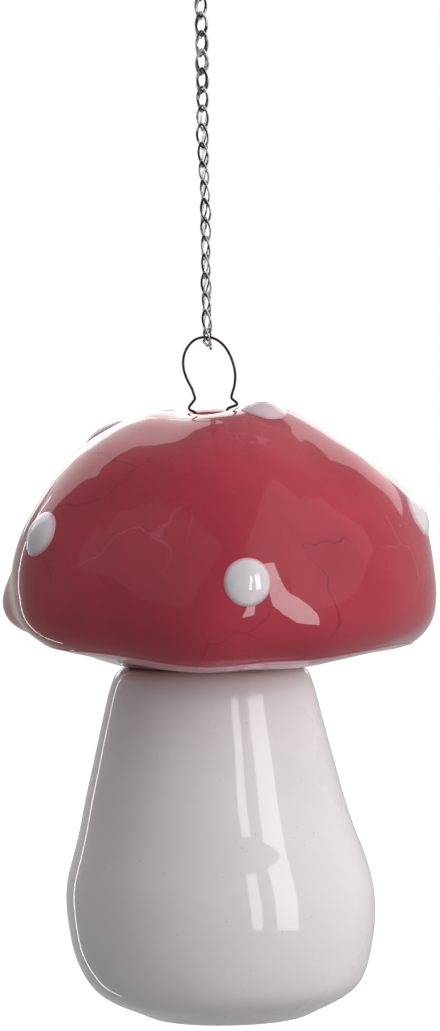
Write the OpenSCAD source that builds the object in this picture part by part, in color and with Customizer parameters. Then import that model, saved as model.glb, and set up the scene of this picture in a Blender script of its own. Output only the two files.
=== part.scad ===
/* [Cap] */
// Diameter over the brim
cap_d = 55.6; // [50:0.1:60]
// Height of the crown above the seat on the stem
cap_h = 33.5; // [31:0.1:36]
// Overhang of the cap's underside past the flat top of the collar
seat_lip = 0.6; // [0.3:0.1:1]
// Radius of the nearly flat crown
crown_r = 10; // [9:0.1:11]
// How far the crown's edge lies below its middle
crown_fall = 1; // [0.6:0.1:1.4]
// Radius halfway down the flank
flank_r = 19.1; // [18:0.1:20]
// How far the flank lies below the crown
flank_fall = 6.2; // [5.5:0.1:7]
// Radius at the shoulder above the brim
shoulder_r = 25.6; // [25:0.1:26]
// How far the shoulder lies below the crown
shoulder_fall = 14.9; // [13.5:0.1:16]
// Height of the brim above the seat
brim_h = 8.8; // [8:0.1:10]
// Radius where the brim has turned under
lip_r = 25.8; // [24.5:0.1:26.5]
// Height of the turned lip above the seat
lip_h = 3.8; // [3.4:0.1:4.8]
// Radius halfway across the underside
under_r = 19.6; // [17:0.1:21]
// Height of the underside there above the seat
under_h = 1.8; // [1.2:0.1:2.6]
// How far the front of the rim droops below the rest
rim_droop = 2.3; // [1.5:0.1:2.6]
// Number of soft lobes round the brim
lobes = 5; // [4:1:7]
// How far a lobe stands out from the round
lobe_rise = 0.6; // [0:0.1:0.8]
// Direction of the first lobe, from the front towards the right
lobe_turn = 8; // [-30:1:30]
// How far the crown is pressed in round its hole
crown_dip = 0.5; // [0:0.1:0.8]
// Thickness of the cast wall of the cap
cap_wall = 3; // [2.8:0.1:3.6]
// How far the hollow stands off the middle, towards the fuller right side
core_shift = 0.8; // [0:0.1:1]

/* [Dots] */
// Diameter of a dot
dot_d = 6.2; // [4.5:0.1:7.5]
// How far a dot stands out of the cap
dot_rise = 1.1; // [0.6:0.1:1.6]

/* [Stem] */
// Height of the stem, foot to seat
stem_h = 46.3; // [40:0.1:50]
// Diameter of the flat foot
foot_d = 20; // [18:0.5:23]
// Diameter over the heel, where the foot's round ends
heel_d = 35.7; // [34:0.1:37]
// Height of the heel
heel_h = 4.8; // [4:0.1:6]
// Diameter over the belly
belly_d = 40.4; // [38:0.1:43]
// Height of the belly
belly_h = 15.7; // [14:0.1:17]
// Diameter where the waist starts to draw in
waist_d = 34.9; // [33:0.1:36]
// Height where the waist starts to draw in
waist_h = 26.8; // [25:0.1:29]
// Diameter of the collar under the cap
collar_d = 26; // [25:0.1:28]
// Radius of the collar's rounded top edge
collar_round = 1.5; // [0.8:0.1:1.8]
// Thickness of the cast wall of the stem
stem_wall = 3; // [2.5:0.1:3.6]
// Outer diameter of the spigot that stands in the cap
spigot_d = 18; // [15:0.5:20]
// Length of the spigot above the seat
spigot_h = 2.6; // [2:0.1:3.4]
// Gap round the spigot, filled with slip before firing
slip_gap = 0.1; // [0.05:0.05:0.2]

/* [Wire hanger] */
// Diameter of the spring wire
wire_d = 0.35; // [0.3:0.05:0.6]
// Diameter of the hole in the crown
hole_d = 4.8; // [4.4:0.1:5.4]
// Radius of the glazed round at the hole's mouth
hole_round = 1.3; // [1:0.1:1.4]
// Gap between a leg of the wire and the wall of the hole
leg_gap = 0.2; // [0.1:0.05:0.3]
// Outer width of the eye
eye_w = 7.3; // [6.5:0.1:8]
// Height of the eye, from its neck to its top
eye_h = 8.1; // [7.5:0.1:9.5]
// How far the hand-bent eye stands off the middle of the hole
eye_shift = -0.4; // [-0.6:0.1:0.6]
// Outer width of the neck below the eye
neck_w = 4.9; // [4.4:0.1:5.4]
// Outer width over the two knees that lie on the cap
knee_w = 7.1; // [6.6:0.1:7.6]
// Gap between a knee and the glaze under it
knee_gap = 0.2; // [0.15:0.05:0.3]
// Drop from a knee to the throat of the hole
knee_fall = 0.5; // [0.4:0.05:0.6]
// Height of the neck above the crown
neck_h = 1.3; // [1.2:0.1:1.8]
// Inside radius of the small bends
bend_r = 0.3; // [0.2:0.05:0.35]
// Reach of a leg below the cap's wall
leg_reach = 5; // [3:0.5:7]
// How far a leg splays out inside the cap
leg_splay = 2.6; // [1.5:0.1:3.5]

/* [Cord] */
// Diameter of the hanging cord
cord_d = 1.6; // [1.2:0.1:1.6]
// Gap between the wire's eye and the cord under it
eye_gap = 0.1; // [0.05:0.05:0.2]
// Height of the hook that holds the loop, above the loop's lowest point
hook_rise = 46; // [40:0.5:47]
// Number of turns wrapped in the knot
knot_turns = 3; // [2:1:4]
// Length of the two tails above the knot
tail_l = 6; // [4:0.5:9]

/* [Hidden] */
$fn = 48;
cap_rings = 28;
cap_sides = 72;
wire_sides = 10;
cord_sides = 8;
cord_steps = 3;

// Directions and positions of the dots: azimuth from the front towards the right,
// and the station along the cap's profile, where 0 is the crown and 4 is the brim.
dots = [
    ["front_dot", 8.1, 3.65],
    ["right_dot", 84, 3],
    ["back_right_dot", 148, 3.4],
    ["back_left_dot", 221, 3.2],
    ["left_dot", 302, 3.07],
    ["crown_dot", 47, 0.9],
    ["upper_right_dot", 118, 1.55],
    ["upper_left_dot", 264, 1.44],
];

// Lumps pressed out of the cap or into it by hand: azimuth, station, height and spread.
lumps = [
    [262, 4.1, 1.8, 4.5],
    [60, 0.8, 1, 6],
    [97, 3, 1.5, 7],
    [268, 2.6, -1.6, 7],
    [275, 5.2, -2, 9],
    [95, 5.2, 1.1, 9],
    [0, 5.3, rim_droop, 11],
    [50, 5.2, 0.3 * rim_droop, 10],
    [262, 1.6, 0.3, 8],
    [0, 0.5, -0.7, 4],
    [0, 0, -crown_dip, 4.5],
];

// Profile of the cap from the crown to the seat, as radius and height above the seat.
cap_profile = [
    [0, cap_h],
    [crown_r, cap_h - crown_fall],
    [flank_r, cap_h - flank_fall],
    [shoulder_r, cap_h - shoulder_fall],
    [cap_d / 2, brim_h],
    [lip_r, lip_h],
    [under_r, under_h],
    [collar_d / 2 - collar_round + seat_lip, 0],
];

// Heights above the foot, which the modules share.
crown_z = stem_h + cap_h;
neck_z = crown_z + neck_h;
eye_top_z = neck_z + eye_h;
under_wall_z = crown_z - cap_wall;
eye_r = (eye_w - wire_d) / 2;
leg_x = hole_d / 2 - leg_gap - wire_d / 2;
knee_x = (knee_w - wire_d) / 2;

// Route of the cord from one end at the knot to the other, as x, y and height
// above the lowest point of its middle line.
cord_route = [
    [0, -0.9, 52.5],
    [0, -0.9, 51.5],
    [0, -1.3, 49.5],
    [0, -2.2, 46.5],
    [0, -2.6, 43],
    [0.1, -2.7, 36],
    [-0.1, -2.8, 27],
    [0.1, -2.9, 18],
    [0, -3.2, 10],
    [0, -3.3, 5.5],
    [0, -3.1, 2.6],
    [0, -2.2, 0.7],
    [0, 0, 0],
    [0, 2.2, 0.7],
    [0, 3.1, 2.6],
    [0, 3.3, 5.5],
    [0, 3.2, 10],
    [-0.1, 2.9, 18],
    [0.1, 2.8, 27],
    [-0.1, 2.7, 36],
    [0, 2.6, 43],
    [0, 2.2, 46.5],
    [0, 1.3, 49.5],
    [0, 0.9, 51.5],
    [0, 0.9, 52.5],
];
strand_y = cord_route[len(cord_route) - 1].y;
cord_low_z = eye_top_z - wire_d / 2 - eye_gap - cord_d / 2;
knot_z = cord_low_z + cord_route[0].z;

function unit(v) = v / norm(v);
function round_point(a) = [cos(a), sin(a)];

// Point at station s of a smooth curve through the points p. A curve that starts
// on the axis leaves it level.
function spline(p, s) =
    let (
        i = min(floor(s), len(p) - 2),
        f = s - i,
        b = p[i],
        c = p[i + 1],
        a = i > 0 ? p[i - 1] : (b[0] == 0 && len(b) == 2 ? [-c[0], c[1]] : 2 * b - c),
        d = i + 2 < len(p) ? p[i + 2] : 2 * c - b
    )
    0.5 * (2 * b + (c - a) * f + (2 * a - 5 * b + 4 * c - d) * f * f + (3 * b - a - 3 * c + d) * f * f * f);

function heading(p, s) = unit(spline(p, min(s + 0.01, len(p) - 1)) - spline(p, max(s - 0.01, 0)));

// Outward normal of the cap's profile, in radius and height.
function cap_out(s) = s == 0 ? [0, 1] : let (h = heading(cap_profile, s)) [-h[1], h[0]];

function front_to_right(az, r) = [r * sin(az), -r * cos(az)];
function ring_point(az, m) = [each front_to_right(az, m[0]), m[1]];
function cap_mean(s, az) = ring_point(az, spline(cap_profile, s));

lump_places = [for (l = lumps) cap_mean(l[1], l[0])];

// How far the cap stands out from its mean form: the lobes, and then the lumps.
function lobe(s, az) = lobe_rise * cos(lobes * (az - lobe_turn)) * pow(sin(180 * min(s, 6) / 6), 2);
function swell(p, i = 0) =
    i == len(lumps) ? 0
    : lumps[i][2] * exp(-pow(norm(p - lump_places[i]) / lumps[i][3], 2)) + swell(p, i + 1);
function seat_fade(s) = s > 6 ? 7 - s : 1;
function cap_point(s, az) =
    let (
        m = cap_mean(s, az),
        out = ring_point(az, cap_out(s))
    )
    m + out * seat_fade(s) * (lobe(s, az) + swell(m));
function cap_normal(s, az) =
    unit(cross(
        cap_point(s + 0.05, az) - cap_point(s - 0.05, az),
        cap_point(s, az + 1) - cap_point(s, az - 1)
    ));

// Height at which a knee of the wire lies on the crown, at the side az.
function knee_z(az) = stem_h + cap_point(knee_x / crown_r, az).z + wire_d / 2 + knee_gap;

// Closed solid through rings of equal length, with a flat fan over each end.
module loft(rings) {
    n = len(rings[0]);
    m = len(rings);
    points = [for (r = rings) each r];
    sides = [
        for (j = [0:m - 2], i = [0:n - 1])
            let (
                a = j * n + i,
                b = j * n + (i + 1) % n
            )
            each [[a, b, b + n], [a, b + n, a + n]]
    ];
    ends = [
        [for (i = [n - 1:-1:0]) i],
        [for (i = [0:n - 1]) (m - 1) * n + i]
    ];
    polyhedron(points, concat(sides, ends), convexity = 8);
}

// Rings round a route: flat is a direction that stays nearly square to the route.
module tube(points, d, sides, flat) {
    last = len(points) - 1;
    loft([
        for (k = [0:last])
            let (
                along = unit(points[min(k + 1, last)] - points[max(k - 1, 0)]),
                across = unit(cross(along, flat)),
                side = cross(across, along)
            )
            [
                for (i = [0:sides - 1])
                    let (c = round_point(360 * (i + 0.5) / sides))
                    points[k] + d / 2 * (c.x * across + c.y * side)
            ]
    ]);
}

// The cap's outside as a filled form, from the crown down to its flat seat.
module cap_form() {
    first = 0.12;
    last = len(cap_profile) - 1;
    rings = [
        for (j = [0:cap_rings])
            let (s = first + (last - first) * pow(j / cap_rings, 1.2))
            [for (i = [0:cap_sides - 1]) cap_point(s, 360 * i / cap_sides)]
    ];
    loft(rings);
}

// The hollow follows the mean form at the wall's thickness, and opens over the spigot.
module cap_hollow() {
    last = 6.3;
    wall = [
        for (j = [0:24])
            let (s = last * j / 24)
            spline(cap_profile, s) - cap_wall * cap_out(s)
    ];
    translate([core_shift, 0, 0]) rotate_extrude() polygon(concat(wall, [[0, wall[len(wall) - 1].y]]));
}

module crown_hole() {
    r = hole_d / 2;
    round_z = cap_h - crown_dip / 2 - hole_round;
    mouth = [for (a = [0:15:90]) [r + hole_round - hole_round * cos(a), round_z + hole_round * sin(a)]];
    translate([0, 0, cap_h - 2 * cap_wall]) cylinder(r = r, h = 3 * cap_wall);
    rotate_extrude() polygon(concat([[0, round_z]], mouth, [[r + hole_round, cap_h + 1], [0, cap_h + 1]]));
}

module cap() {
    color("firebrick")
    translate([0, 0, stem_h])
    difference() {
        cap_form();
        cap_hollow();
        crown_hole();
        translate([0, 0, -1]) cylinder(d = spigot_d + 2 * slip_gap, h = 1 + 2 * cap_wall);
    }
}

// A drop of glaze: a slice of a ball that lies on the cap's own surface.
module dot(az, s) {
    ball_r = (pow(dot_d / 2, 2) + pow(dot_rise, 2)) / (2 * dot_rise);
    place = cap_point(s, az);
    out = cap_normal(s, az);
    color("gainsboro")
    translate([0, 0, stem_h])
    difference() {
        translate(place + out * (dot_rise - ball_r)) sphere(r = ball_r, $fn = 144);
        cap_form();
    }
}

// Profile of the stem's outside, as radius and height, from the foot's edge to the collar.
stem_profile = [
    [foot_d / 2, 0],
    [heel_d / 2, heel_h],
    [belly_d / 2, belly_h],
    [waist_d / 2, waist_h],
    [collar_d / 2, stem_h - collar_round],
];

module stem() {
    outside = [for (s = [0:0.125:4]) spline(stem_profile, s)];
    round_c = [collar_d / 2 - collar_round, stem_h - collar_round];
    collar = [for (a = [15:15:90]) round_c + collar_round * round_point(a)];
    inside = [
        for (s = [3.9:-0.1:0.3])
            let (h = heading(stem_profile, s))
            spline(stem_profile, s) + stem_wall * [-h[1], h[0]]
    ];
    bore_r = spigot_d / 2 - stem_wall / 2;
    color("whitesmoke")
    difference() {
        rotate_extrude() polygon(concat([[0, 0]], outside, collar, [
            [spigot_d / 2, stem_h],
            [spigot_d / 2, stem_h + spigot_h],
            [0, stem_h + spigot_h]
        ]));
        rotate_extrude() polygon(concat([[0, inside[0].y]], inside, [[0, inside[len(inside) - 1].y]]));
        translate([0, 0, stem_h - 2 * stem_wall]) cylinder(r = bore_r, h = 4 * stem_wall);
    }
}

// Points of the bend at corner i of a route in the plane of the hanger.
function wire_bend(p, i, steps = 4) =
    let (
        a = unit(p[i] - p[i - 1]),
        b = unit(p[i + 1] - p[i]),
        turn = atan2(a.x * b.y - a.y * b.x, a * b),
        r = bend_r + wire_d / 2,
        side = sign(turn) * [-a.y, a.x],
        centre = p[i] - a * r * tan(abs(turn) / 2) + side * r,
        from = atan2(-side.y, -side.x)
    )
    [for (k = [0:steps]) centre + r * round_point(from + turn * k / steps)];

// Half of the wire, drawn to the right: from the top of the eye to the tip of its
// leg, with the eye's middle at x = shift and the knee on the crown's side az. The
// eye's round runs on in a straight length that touches it and ends at the neck.
function half_wire(shift, az, steps = 13) =
    let (
        eye = [shift, eye_top_z - eye_r],
        neck = [(neck_w - wire_d) / 2, neck_z],
        knee = [knee_x, knee_z(az)],
        throat = [leg_x, knee.y - knee_fall],
        under = [leg_x, under_wall_z],
        tip = [leg_x + leg_splay, under_wall_z - leg_reach],
        to_neck = neck - eye,
        touch = atan2(to_neck.y, to_neck.x) + acos(eye_r / norm(to_neck)),
        start = eye + eye_r * round_point(touch),
        p = [start, neck, knee, throat, under, tip]
    )
    concat(
        [for (k = [0:steps]) eye + eye_r * round_point(90 + (touch - 90) * k / steps)],
        [for (i = [1:len(p) - 2]) each wire_bend(p, i)],
        [tip]
    );

module wire_hanger() {
    left = half_wire(-eye_shift, 270);
    right = half_wire(eye_shift, 90);
    points = concat(
        [for (k = [len(left) - 1:-1:1]) [-left[k].x, 0, left[k].y]],
        [for (p = right) [p.x, 0, p.y]]
    );
    color("dimgray") tube(points, wire_d, wire_sides, [0, 1, 0]);
}

module hanging_cord() {
    last = (len(cord_route) - 1) * cord_steps;
    points = [for (k = [0:last]) spline(cord_route, k / cord_steps)];
    color("silver") translate([eye_shift, 0, cord_low_z]) tube(points, cord_d, cord_sides, [1, 0, 0]);
}

// The knot: turns of the cord wrapped round its two strands, with the two cut tails above.
module knot() {
    turn_r = cord_d;
    pitch = 0.9 * cord_d;
    knot_h = (knot_turns - 1) * pitch + cord_d;
    color("silver")
    translate([eye_shift, 0, knot_z]) {
        cylinder(r = turn_r, h = knot_h);
        for (i = [0:knot_turns - 1])
            translate([0, 0, cord_d / 2 + i * pitch])
            rotate_extrude() translate([turn_r, 0]) circle(d = cord_d);
        for (side = [-1, 1])
            translate([0, side * strand_y, knot_h - cord_d / 2])
            rotate([-side * 12, 0, 0])
            cylinder(d = cord_d, h = tail_l + cord_d / 2);
    }
}

// The origin is where a hook holds the loop, below the knot.
translate([-eye_shift, 0, -cord_low_z - hook_rise]) {
    stem();
    cap();
    for (d = dots)
        dot(d[1], d[2]);
    wire_hanger();
    hanging_cord();
    knot();
}
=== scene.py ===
# %% [markdown]
# # A hanging ceramic mushroom
#
# The ornament is slip-cast earthenware in two parts: a red cap and a white stem, both
# under a thick clear gloss. Raised dots of white glaze sit on the cap. A bent spring
# wire grips the cap from inside and makes an eye, and a silver chain-stitched cord
# passes through the eye.
#
# Everything here is in metres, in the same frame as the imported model. The origin is the
# point where a hook holds the loop of cord, and the mushroom hangs below it.

from math import asin, atan2, cos, exp, floor, hypot, pi, radians, sin

import bpy
from mathutils import Matrix, Vector, noise


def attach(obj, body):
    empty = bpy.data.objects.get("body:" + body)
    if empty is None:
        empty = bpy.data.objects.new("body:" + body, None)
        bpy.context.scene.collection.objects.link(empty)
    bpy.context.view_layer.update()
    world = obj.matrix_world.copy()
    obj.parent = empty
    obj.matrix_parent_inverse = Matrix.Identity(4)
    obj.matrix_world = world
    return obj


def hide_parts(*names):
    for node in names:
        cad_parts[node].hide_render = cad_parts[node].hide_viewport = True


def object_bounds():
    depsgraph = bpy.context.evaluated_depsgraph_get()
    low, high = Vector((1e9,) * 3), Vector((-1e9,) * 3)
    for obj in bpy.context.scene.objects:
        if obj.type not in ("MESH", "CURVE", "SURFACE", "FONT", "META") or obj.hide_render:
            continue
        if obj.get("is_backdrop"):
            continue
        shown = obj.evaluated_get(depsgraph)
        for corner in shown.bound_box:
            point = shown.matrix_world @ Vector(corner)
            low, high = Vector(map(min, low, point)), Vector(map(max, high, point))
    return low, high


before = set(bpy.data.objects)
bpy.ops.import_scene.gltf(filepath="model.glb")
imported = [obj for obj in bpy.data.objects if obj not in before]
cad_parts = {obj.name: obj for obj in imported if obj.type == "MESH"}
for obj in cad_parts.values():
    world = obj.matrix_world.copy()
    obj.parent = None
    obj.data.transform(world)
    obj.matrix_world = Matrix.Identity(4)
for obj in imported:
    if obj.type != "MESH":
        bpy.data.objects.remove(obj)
cad_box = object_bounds()
MM = 0.001

# %% [markdown]
# ## The camera
#
# The ornament was photographed from the front, a little above the middle of the cap,
# with a long lens. The whole picture leans a degree to the left. The focal length is in
# pixels of the picture, and the object's lengths are in millimetres until they meet MM.

# %% Camera
PICTURE_HIGH = 1031
FOCAL = 5364
AXIS_X = 0.4
FOOT_Z = -134.125
LENS_AWAY = 700
LENS_SIDE = 0.83
LENS_RISE = 93.86
LOOK_DOWN = 2.3
PICTURE_LEAN = 1.1

clear_lens = bpy.data.cameras.new("long_lens")
clear_lens.sensor_fit = "VERTICAL"
clear_lens.sensor_height = 24
clear_lens.lens = clear_lens.sensor_height * FOCAL / PICTURE_HIGH
clear_lens.clip_start = 0.05
camera = bpy.data.objects.new("camera", clear_lens)
bpy.context.collection.objects.link(camera)
lean = Matrix.Rotation(radians(-PICTURE_LEAN), 4, "Z")
tilt = Matrix.Rotation(radians(90 - LOOK_DOWN), 4, "X")
lens_point = Vector((AXIS_X + LENS_SIDE, -LENS_AWAY, FOOT_Z + LENS_RISE))
camera.matrix_world = Matrix.Translation(lens_point * MM) @ tilt @ lean
bpy.context.scene.camera = camera
bpy.context.scene.view_settings.view_transform = "Standard"
print("lens", round(clear_lens.lens, 1), "mm")

# %% [markdown]
# ## Small helpers
#
# Each round piece starts as a line of corners, drawn as a potter draws a profile, and is
# then spun round the mushroom's axis. A spin of a full turn leaves its first and last
# rings on top of each other, so doubles are merged and the normals made to agree.


# %% Drawing and finishing
def start_fresh():
    if bpy.context.object and bpy.context.object.mode != "OBJECT":
        bpy.ops.object.mode_set(mode="OBJECT")
    bpy.ops.object.select_all(action="DESELECT")


def draw_line(name, points):
    """A line of corners, extruded one by one from a plane that is merged to a point."""
    start_fresh()
    bpy.ops.mesh.primitive_plane_add(size=MM)
    line = bpy.context.object
    line.name = line.data.name = name
    bpy.ops.object.mode_set(mode="EDIT")
    bpy.ops.mesh.merge(type="CENTER")
    bpy.ops.transform.translate(value=points[0])
    for here, there in zip(points, points[1:]):
        step = [b - a for a, b in zip(here, there)]
        bpy.ops.mesh.extrude_vertices_move(TRANSFORM_OT_translate={"value": step})
    return line


def spin_round(steps, centre=(AXIS_X * MM, 0, 0)):
    """Spins the line that is being edited into a closed shell."""
    bpy.ops.mesh.select_all(action="SELECT")
    bpy.ops.mesh.spin(steps=steps, angle=2 * pi, center=centre, axis=(0, 0, 1))
    bpy.ops.mesh.select_all(action="SELECT")
    bpy.ops.mesh.remove_doubles(threshold=0.002 * MM)
    bpy.ops.mesh.normals_make_consistent(inside=False)
    bpy.ops.object.mode_set(mode="OBJECT")


def smooth(piece, levels=1):
    """One subdivision, applied, and smooth shading."""
    start_fresh()
    piece.select_set(True)
    bpy.context.view_layer.objects.active = piece
    if levels:
        finer = piece.modifiers.new("finer", "SUBSURF")
        finer.levels = finer.render_levels = levels
        bpy.ops.object.modifier_apply(modifier="finer")
    bpy.ops.object.shade_smooth()


def hand_in(piece, body, finish, slot, *nodes):
    """Gives a finished piece its material and its body, and hides its CAD nodes. slot is not
    used.
    """
    piece.data.materials.clear()
    piece.data.materials.append(finish)
    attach(piece, body)
    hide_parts(*nodes)
    corners = len(piece.data.vertices)
    print(piece.name, "on", body, "with", corners, "corners")


# %% [markdown]
# ## Smooth curves
#
# A profile or a route is a few points, and a Catmull-Rom curve runs through all of them.
# It passes through its own points, which a Bezier curve's handles do not do, so the
# numbers are sizes that can be measured on the real thing.


# %% Curve through points
def along(points, s):
    """The point at station s of a smooth curve. A curve from the axis leaves it level."""
    i = min(int(floor(s)), len(points) - 2)
    f = s - i
    b, c = Vector(points[i]), Vector(points[i + 1])
    if i > 0:
        a = Vector(points[i - 1])
    elif b[0] == 0 and len(b) == 2:
        a = Vector((-c[0], c[1]))
    else:
        a = 2 * b - c
    d = Vector(points[i + 2]) if i + 2 < len(points) else 2 * c - b
    bend = (2 * a - 5 * b + 4 * c - d) * f * f
    twist = (3 * b - a - 3 * c + d) * f * f * f
    return 0.5 * (2 * b + (c - a) * f + bend + twist)


def heading(points, s):
    end = len(points) - 1
    step = along(points, min(s + 0.01, end)) - along(points, max(s - 0.01, 0))
    return step.normalized()


def outward(points, s):
    way = heading(points, s)
    return Vector((-way[1], way[0]))


def resample(points, count):
    """That many points at even distances along a line of points."""
    reach = [0]
    for a, b in zip(points, points[1:]):
        reach.append(reach[-1] + (b - a).length)
    spread = []
    k = 0
    for j in range(count):
        want = reach[-1] * j / (count - 1)
        while k < len(points) - 2 and reach[k + 1] < want:
            k += 1
        share = (want - reach[k]) / (reach[k + 1] - reach[k])
        spread.append(points[k].lerp(points[k + 1], share))
    return spread, reach[-1]


# %% [markdown]
# ## The hanging cord
#
# The cord is a chain of crocheted loops in silver yarn, flatter than it is wide. It is one
# length: down in front, under the wire's eye, up behind, and both ends go into the knot.
# A rope material on a plain tube would not show the open ladder of loops, so every stitch
# is real: one flat-yarn loop, copied along the route, each with its foot through the head
# of the loop before it. The route's points are the ones that the solid cord follows.

# %% Route and size of the cord
CORD_WIDE = 1.6
CORD_LOW_Z = -46
STRAND_Y = 0.9
CORD_TOP = 52.5
cord_half = [
    (0, 0.9, 52.5),
    (0, 0.9, 51.5),
    (0, 1.3, 49.5),
    (0, 2.2, 46.5),
    (0, 2.6, 43),
    (-0.1, 2.7, 36),
    (0.1, 2.8, 27),
    (-0.1, 2.9, 18),
    (0, 3.2, 10),
    (0, 3.3, 5.5),
    (0, 3.1, 2.6),
    (0, 2.2, 0.7),
]
front = [(-x, -y, z) for x, y, z in cord_half]
route = front + [(0, 0, 0)] + cord_half[::-1]
route_points = [Vector((x, y, z + CORD_LOW_Z)) * MM for x, y, z in route]
ROUTE_STEPS = 8
PATH_POINTS = 241
last = (len(route) - 1) * ROUTE_STEPS
fine_route = [along(route_points, k / ROUTE_STEPS) for k in range(last + 1)]
cord_path, CORD_LONG = resample(fine_route, PATH_POINTS)
print("cord", round(CORD_LONG / MM, 1), "mm long")


# %% Yarn and stitches
def ring_frame(way, flat):
    """Two directions square to the way: across, which is square to flat, and side."""
    across = way.cross(flat).normalized()
    return across, across.cross(way).normalized()


class Yarn:
    """Corners and faces of one mesh, and how near each corner is to a loop's outer edge."""

    def __init__(self):
        self.corners = []
        self.faces = []
        self.edges = []

    def add_tube(self, points, flats, wide, thick, sides=8, closed=True):
        """A flat yarn along the points. Its broad faces look along flats."""
        first = len(self.corners)
        count = len(points)
        for k in range(count):
            if closed:
                way = points[(k + 1) % count] - points[k - 1]
            else:
                way = points[min(k + 1, count - 1)] - points[max(k - 1, 0)]
            across, side = ring_frame(way.normalized(), flats[k])
            for j in range(sides):
                turn = 2 * pi * (j + 0.5) / sides
                offset = across * cos(turn) * wide / 2 + side * sin(turn) * thick / 2
                self.corners.append(points[k] + offset)
                self.edges.append(cos(turn))
        for k in range(count if closed else count - 1):
            for j in range(sides):
                a = first + k * sides + j
                b = first + k * sides + (j + 1) % sides
                c = first + (k + 1) % count * sides + (j + 1) % sides
                d = first + (k + 1) % count * sides + j
                self.faces.append((a, b, c, d))
        if not closed:
            end = first + (count - 1) * sides
            self.faces.append(tuple(range(first + sides - 1, first - 1, -1)))
            self.faces.append(tuple(range(end, end + sides)))

    def make(self, name):
        mesh = bpy.data.meshes.new(name)
        mesh.from_pydata(self.corners, [], self.faces)
        edge = mesh.attributes.new("yarn_edge", "FLOAT", "POINT")
        edge.data.foreach_set("value", self.edges)
        piece = bpy.data.objects.new(name, mesh)
        bpy.context.collection.objects.link(piece)
        start_fresh()
        piece.select_set(True)
        bpy.context.view_layer.objects.active = piece
        bpy.ops.object.mode_set(mode="EDIT")
        bpy.ops.mesh.select_all(action="SELECT")
        bpy.ops.mesh.normals_make_consistent(inside=False)
        bpy.ops.object.mode_set(mode="OBJECT")
        bpy.ops.object.shade_smooth()
        return piece


# %% [markdown]
# A stitch is drawn once, flat, as eight points of half a teardrop: narrow at its foot,
# wide above the middle, and closed at its head. The foot comes to the front and the head
# goes behind, so that the next loop's foot lies on it. Each copy is bent round the
# route, and the whole chain turns slowly about itself, as a hanging cord does. No two
# stitches are alike: each strays a little in its width, its place and its turn. Noise
# vectors start from the clock unless they are given a seed, and every run should make the
# same cord.

# %% One stitch and the chain
STITCH_PITCH = 2.42 * MM
STITCH_LONG = 1.25
STITCH_POINTS = 12
YARN_WIDE = 0.34 * MM
YARN_THICK = 0.2 * MM
WIDTH_STRAY = 0.16
SIDE_STRAY = 0.07
TURN_STRAY = 0.5
STRAY_SEED = 7
noise.seed_set(STRAY_SEED)
stitch_half = [
    (0.00, 0.00, 0.24),
    (0.18, 0.03, 0.26),
    (0.44, 0.20, 0.20),
    (0.68, 0.46, 0.08),
    (0.73, 0.70, -0.06),
    (0.61, 0.94, -0.18),
    (0.34, 1.15, -0.26),
    (0.12, 1.24, -0.25),
    (0.00, STITCH_LONG, -0.24),
]


def stitch_points(count):
    """A closed loop as (sideways mm, up in pitches, forward mm)."""
    half = [along(stitch_half, 8 * k / count) for k in range(count + 1)]
    mirrored = [Vector((-p[0], p[1], p[2])) for p in half[-2:0:-1]]
    return half + mirrored


def chain(yarn, points, turn_of, seed):
    """Stitches along a line of evenly spaced points. turn_of gives the chain's turn."""
    steps = len(points) - 1
    line_long = sum((b - a).length for a, b in zip(points, points[1:]))
    count = max(2, round(line_long / STITCH_PITCH))
    one = stitch_points(STITCH_POINTS)

    def spot(share, stray):
        share = min(max(share, 0), 1)
        s = share * steps
        here = along(points, s)
        way = heading(points, s)
        side = Vector((1, 0, 0))
        side = (side - way * side.dot(way)).normalized()
        face = way.cross(side)
        turn = turn_of(share) + stray
        right = side * cos(turn) + face * sin(turn)
        return here, right, way.cross(right)

    room = 1 - STITCH_LONG / count
    for k in range(count):
        base = room * k / (count - 1)
        wobble = noise.noise_vector((k * 1.7, seed, 3.1))
        stray = TURN_STRAY * wobble[2] * min(1, 3 * abs(turn_of(base)))
        wide = 1 + WIDTH_STRAY * wobble[0]
        loop = []
        flats = []
        for x, up, forward in one:
            here, right, face = spot(base + up / count, stray)
            sideways = x * wide + SIDE_STRAY * wobble[1]
            loop.append(here + right * sideways * MM + face * forward * MM)
            flats.append(face)
        yarn.add_tube(loop, flats, YARN_WIDE, YARN_THICK)
    return count


OUT_OF_STEP = 0.5
TURN_FROM = 0.2
TURN_OVER = 0.35
TURN_BY = 0.75


def cord_turn(share):
    """Face on at the knots and edge on near the eye, with the two strands out of step."""
    down = 1 - abs(2 * share - 1)
    lead = 0 if share < 0.5 else OUT_OF_STEP
    ease = min(1, max(0, (down - TURN_FROM) / TURN_OVER))
    return lead + TURN_BY * ease * ease * (3 - 2 * ease)


cord_yarn = Yarn()
stitches = chain(cord_yarn, cord_path, cord_turn, 0.4)
hanging_cord = cord_yarn.make("chain_stitched_cord")
print(stitches, "stitches,", len(hanging_cord.data.polygons), "faces")

# %% [markdown]
# ## The knot
#
# The loop's two ends are tied above the picture. The knot is three turns of the same
# chain round both strands, with the two cut ends standing above it. It hides where the
# strands start, so it is the cord's far end as well as its exit.

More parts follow.
